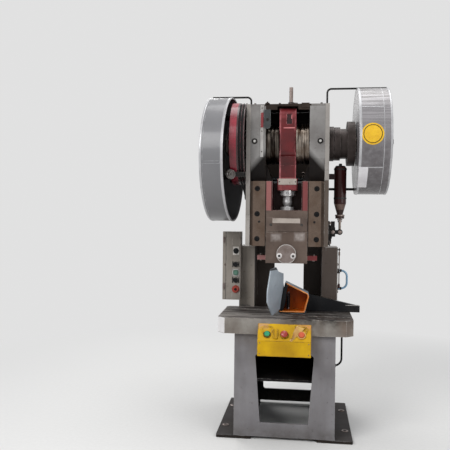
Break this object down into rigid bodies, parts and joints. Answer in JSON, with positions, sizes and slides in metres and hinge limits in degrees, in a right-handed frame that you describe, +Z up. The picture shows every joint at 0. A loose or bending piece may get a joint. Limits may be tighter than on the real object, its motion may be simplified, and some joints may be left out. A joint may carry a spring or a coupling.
{
  "type": "mechanical stamping press",
  "caption": "C-frame eccentric press with a box stand, T-slot table, guided slide, open crank and rod, flywheel drive, brake and two drum guards.",
  "frame": {"origin": "centre of the four anchor holes, on the floor", "axes": "+X to the right seen from the operator, +Y to the back, +Z up"},
  "size_m": [1.3476, 1.0441, 2.505],
  "materials": {
    "grey": "satin",
    "dark_paint": "satin",
    "red": "satin",
    "steel": "brushed",
    "worn_steel": "worn",
    "bronze": "satin",
    "cast": "rough",
    "black_metal": "satin",
    "rubber": "matt",
    "yellow": "satin",
    "black_plastic": "matt",
    "green_plastic": "gloss",
    "red_plastic": "gloss",
    "orange_plastic": "gloss",
    "blue_grey": "satin",
    "hose_blue": "gloss",
    "maroon": "satin"
  },
  "bodies": {
    "frame": {"base_stand": "grey", "table": "worn_steel", "side_plate_left": "grey", "side_plate_right": "grey", "back_plate": "dark_paint", "bearing_block_left": "grey", "bearing_block_right": "grey", "main_bush_left": "bronze", "main_bush_right": "bronze", "top_cover": "dark_paint", "top_rod": "steel", "guide_block_left": "worn_steel", "guide_block_right": "worn_steel", "gib_left": "worn_steel", "gib_right": "worn_steel", "gib_screws": "black_metal", "drive_belts": "rubber", "motor": "dark_paint", "left_guard": "grey", "left_guard_studs": "black_metal", "stay_left": "black_metal", "bearing_cover": "cast", "brake_band": "black_metal", "brake_anchor": "black_metal", "right_guard": "grey", "right_guard_cap": "grey", "stay_right": "black_metal", "trip_cylinder": "maroon", "lever_bracket": "black_metal", "air_hose": "hose_blue", "side_cable": "rubber", "control_box": "grey", "hand_box": "yellow", "foot_switch": "blue_grey", "foot_switch_arm": "black_plastic"},
    "crank": {"crankshaft": "steel", "trip_disc": "cast", "brake_drum": "cast"},
    "rod": {"connecting_rod": "red", "rod_bush": "bronze", "lock_nut": "steel", "ball_screw": "steel"},
    "ram": {"slide": "red", "ball_ring": "steel", "clamp_cap": "worn_steel", "clamp_bolts": "steel"},
    "wheel": {"flywheel": "red"},
    "pulley": {"motor_pulley": "cast"},
    "plunger": {"trip_rod": "steel"},
    "lever": {"trip_lever": "black_metal"},
    "selector": {"selector_knob": "black_plastic"},
    "key_black_upper": {"button_black_upper": "black_plastic"},
    "key_green": {"button_green": "green_plastic"},
    "key_black_lower": {"button_black_lower": "black_plastic"},
    "key_red": {"button_red": "red_plastic"},
    "hand_left": {"hand_button_left": "green_plastic"},
    "hand_right": {"hand_button_right": "orange_plastic"},
    "stop": {"stop_button": "red_plastic"},
    "pedal": {"foot_pedal": "black_plastic"}
  },
  "joints": [
    {"name": "crank_turn", "type": "hinge", "parent": "frame", "child": "crank", "pos_m": [0, -0.18, 2.09], "axis": [-1, 0, 0], "range_deg": [0, 180]},
    {"name": "rod_turn", "type": "hinge", "parent": "crank", "child": "rod", "pos_m": [0, -0.18, 2.115], "axis": [-1, 0, 0], "range_deg": [-180.5, 0.5]},
    {"name": "slide_travel", "type": "slide", "parent": "frame", "child": "ram", "axis": [0, 0, -1], "range_m": [0, 0.0501]},
    {"name": "flywheel_spin", "type": "hinge", "parent": "frame", "child": "wheel", "pos_m": [-0.35, -0.18, 2.09], "axis": [1, 0, 0], "continuous": true},
    {"name": "pulley_spin", "type": "hinge", "parent": "frame", "child": "pulley", "pos_m": [-0.32, 0.15, 1.75], "axis": [1, 0, 0], "continuous": true},
    {"name": "trip_stroke", "type": "slide", "parent": "frame", "child": "plunger", "axis": [0, 0, -1], "range_m": [0, 0.02], "stiffness_N_per_m": 500, "springref_m": -0.06},
    {"name": "lever_swing", "type": "hinge", "parent": "frame", "child": "lever", "pos_m": [0.33, -0.202, 1.45], "axis": [0, 1, 0], "range_deg": [0, 21.9]},
    {"name": "selector_turn", "type": "hinge", "parent": "frame", "child": "selector", "pos_m": [-0.4, 0.03, 1.289], "axis": [0, 1, 0], "range_deg": [0, 90]},
    {"name": "black_upper_press", "type": "slide", "parent": "frame", "child": "key_black_upper", "axis": [0, 1, 0], "range_m": [0, 0.005], "stiffness_N_per_m": 400, "springref_m": -0.01},
    {"name": "green_press", "type": "slide", "parent": "frame", "child": "key_green", "axis": [0, 1, 0], "range_m": [0, 0.005], "stiffness_N_per_m": 400, "springref_m": -0.01},
    {"name": "black_lower_press", "type": "slide", "parent": "frame", "child": "key_black_lower", "axis": [0, 1, 0], "range_m": [0, 0.005], "stiffness_N_per_m": 400, "springref_m": -0.01},
    {"name": "red_press", "type": "slide", "parent": "frame", "child": "key_red", "axis": [0, 1, 0], "range_m": [0, 0.005], "stiffness_N_per_m": 400, "springref_m": -0.01},
    {"name": "hand_left_press", "type": "slide", "parent": "frame", "child": "hand_left", "axis": [0, 0.7954, -0.606], "range_m": [0, 0.005], "stiffness_N_per_m": 400, "springref_m": -0.01},
    {"name": "hand_right_press", "type": "slide", "parent": "frame", "child": "hand_right", "axis": [0, 0.7954, -0.606], "range_m": [0, 0.005], "stiffness_N_per_m": 400, "springref_m": -0.01},
    {"name": "stop_press", "type": "slide", "parent": "frame", "child": "stop", "axis": [0, 0.7954, -0.606], "range_m": [0, 0.005], "stiffness_N_per_m": 400, "springref_m": -0.01},
    {"name": "pedal_swing", "type": "hinge", "parent": "frame", "child": "pedal", "pos_m": [0.014, -0.087, 0.93], "axis": [0, 0, -1], "range_deg": [0, 7], "stiffness_Nm_per_rad": 3, "springref_deg": -17.19}
  ],
  "couplings": [
    {"joint": "rod_turn", "follows": "crank_turn", "ratio": -1},
    {"joint": "slide_travel", "follows": "crank_turn", "m_per_rad": 0.015915},
    {"joint": "pulley_spin", "follows": "flywheel_spin", "ratio": 5.2259},
    {"joint": "lever_swing", "follows": "trip_stroke", "rad_per_m": 19.024}
  ]
}
